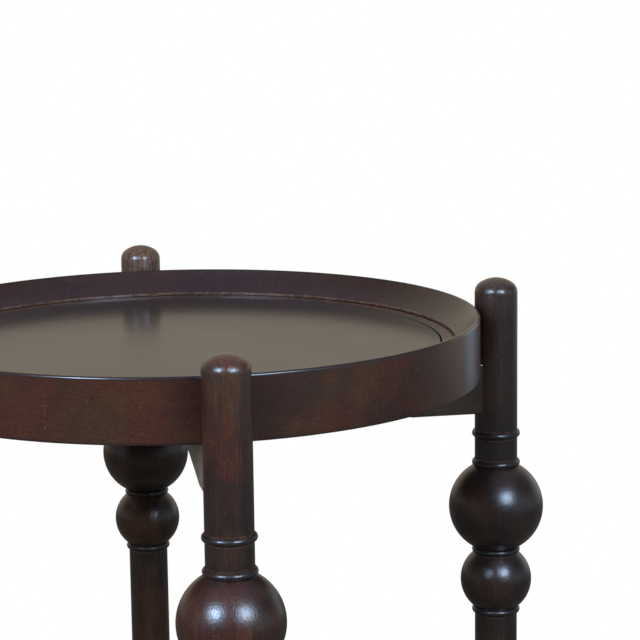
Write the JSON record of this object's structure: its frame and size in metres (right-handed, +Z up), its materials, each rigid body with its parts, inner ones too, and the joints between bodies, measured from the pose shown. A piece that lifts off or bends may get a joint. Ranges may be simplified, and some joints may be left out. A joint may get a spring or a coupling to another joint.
{
  "type": "round side table",
  "caption": "Round side table with a raised-rim tray on crossing arched rails between turned ball-and-bead posts.",
  "frame": {"origin": "on the floor, under the centre of the table", "axes": "+Z up along the table's centre line; one post each on -Y (front), +X (right), +Y (back) and -X (left)"},
  "size_m": [0.7006, 0.7006, 0.61],
  "materials": {
    "post_wood": "satin lacquer over dark stain",
    "rail_wood": "satin lacquer over dark stain",
    "rim_wood": "satin lacquer over dark stain",
    "panel_veneer": "satin lacquer over dark stain",
    "dowel_beech": "plain",
    "spline_plywood": "plain",
    "plated_steel": "zinc plated",
    "screw_steel": "black oxide",
    "wool_felt": "matte",
    "glide_nylon": "matte"
  },
  "bodies": {
    "frame": {"post_right": "post_wood", "post_back": "post_wood", "post_left": "post_wood", "post_front": "post_wood", "rail_left_right": "rail_wood", "rail_front_back": "rail_wood", "lap_screw": "screw_steel", "hanger_bolts": "plated_steel", "bolt_washers": "plated_steel", "bolt_nuts": "plated_steel", "rail_dowels": "dowel_beech", "felt_pads": "wool_felt", "foot_glides": "glide_nylon", "glide_nails": "plated_steel"},
    "tray": {"rim_segment_1": "rim_wood", "rim_segment_2": "rim_wood", "rim_segment_3": "rim_wood", "rim_segment_4": "rim_wood", "rim_segment_5": "rim_wood", "rim_segment_6": "rim_wood", "rim_segment_7": "rim_wood", "rim_segment_8": "rim_wood", "rim_splines": "spline_plywood", "top_panel": "panel_veneer", "panel_screws": "screw_steel"}
  },
  "joints": [
    {"name": "tray_lift", "type": "slide", "parent": "frame", "child": "tray", "axis": [0, 0, 1], "range_m": [0, 0.1]}
  ]
}
